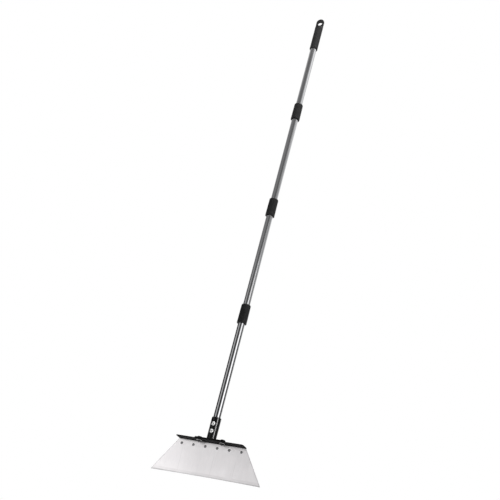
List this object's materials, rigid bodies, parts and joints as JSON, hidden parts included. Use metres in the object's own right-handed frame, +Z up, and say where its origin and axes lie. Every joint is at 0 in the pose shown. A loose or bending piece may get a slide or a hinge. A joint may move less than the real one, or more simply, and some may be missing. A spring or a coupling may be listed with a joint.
{
  "type": "roof snow scraper",
  "caption": "Long-handled snow scraper: a flared steel blade under a ledge, bolted to a socket on a sectional steel pole with screw collars and a grip with a hang hole.",
  "frame": {"origin": "centre of the hang hole in the grip", "axes": "+Z up the pole from the blade to the grip; +X along the blade, to the right of someone facing the side with the ledge and the screw heads; -Y is that side, which the hang hole's near mouth and the ledge face"},
  "size_m": [0.354, 0.0393, 1.7174],
  "materials": {
    "polished_tube": "polished stainless tube",
    "black_plastic": "fine-grained black moulding",
    "ferrule_plastic": "plain black moulding",
    "gasket_rubber": "smooth black rubber",
    "black_paint": "gloss black paint",
    "black_steel": "black zinc plating",
    "zinc_steel": "bright zinc plating",
    "rivet_steel": "dull grey steel",
    "blade_steel": "finely brushed stainless sheet"
  },
  "bodies": {
    "handle_section": {"grip": "black_plastic", "tube_4": "polished_tube", "tail_ferrule_4": "ferrule_plastic", "gasket_3": "gasket_rubber"},
    "collar_3": {"collar_3": "black_plastic"},
    "section_3": {"thread_ferrule_3": "ferrule_plastic", "tube_3": "polished_tube", "tail_ferrule_3": "ferrule_plastic", "gasket_2": "gasket_rubber"},
    "collar_2": {"collar_2": "black_plastic"},
    "section_2": {"thread_ferrule_2": "ferrule_plastic", "tube_2": "polished_tube", "tail_ferrule_2": "ferrule_plastic", "gasket_1": "gasket_rubber"},
    "collar_1": {"collar_1": "black_plastic"},
    "blade_section": {"thread_ferrule_1": "ferrule_plastic", "tube_1": "polished_tube", "socket": "black_paint", "socket_weld": "black_paint", "socket_screws": "zinc_steel", "socket_nuts": "zinc_steel", "bracket_plate": "black_paint", "clamp_bolts": "black_steel", "bolt_washers": "black_steel", "nut_washers": "zinc_steel", "blade_angle": "black_paint", "blade": "blade_steel", "blade_rivets": "rivet_steel"},
    "wing_nut_left": {"wing_nut_left": "black_steel"},
    "wing_nut_right": {"wing_nut_right": "black_steel"}
  },
  "joints": [
    {"name": "collar_3_turn", "type": "hinge", "parent": "handle_section", "child": "collar_3", "pos_m": [0, 0, -0.4], "axis": [0, 0, 1], "range_deg": [0, 1800]},
    {"name": "joint_3_slide", "type": "slide", "parent": "handle_section", "child": "section_3", "axis": [0, 0, -1], "range_m": [0, 0.015]},
    {"name": "collar_2_turn", "type": "hinge", "parent": "section_3", "child": "collar_2", "pos_m": [0, 0, -0.79], "axis": [0, 0, 1], "range_deg": [0, 1800]},
    {"name": "joint_2_slide", "type": "slide", "parent": "section_3", "child": "section_2", "axis": [0, 0, -1], "range_m": [0, 0.015]},
    {"name": "collar_1_turn", "type": "hinge", "parent": "section_2", "child": "collar_1", "pos_m": [0, 0, -1.18], "axis": [0, 0, 1], "range_deg": [0, 1800]},
    {"name": "joint_1_slide", "type": "slide", "parent": "section_2", "child": "blade_section", "axis": [0, 0, -1], "range_m": [0, 0.015]},
    {"name": "wing_nut_left_turn", "type": "hinge", "parent": "blade_section", "child": "wing_nut_left", "pos_m": [-0.0375, 0, -1.5966], "axis": [0, 0, 1], "continuous": true},
    {"name": "wing_nut_right_turn", "type": "hinge", "parent": "blade_section", "child": "wing_nut_right", "pos_m": [0.0375, 0, -1.5966], "axis": [0, 0, 1], "continuous": true}
  ],
  "couplings": [
    {"joint": "collar_3_turn", "follows": "joint_3_slide", "rad_per_m": 2094.4},
    {"joint": "collar_2_turn", "follows": "joint_2_slide", "rad_per_m": 2094.4},
    {"joint": "collar_1_turn", "follows": "joint_1_slide", "rad_per_m": 2094.4}
  ]
}
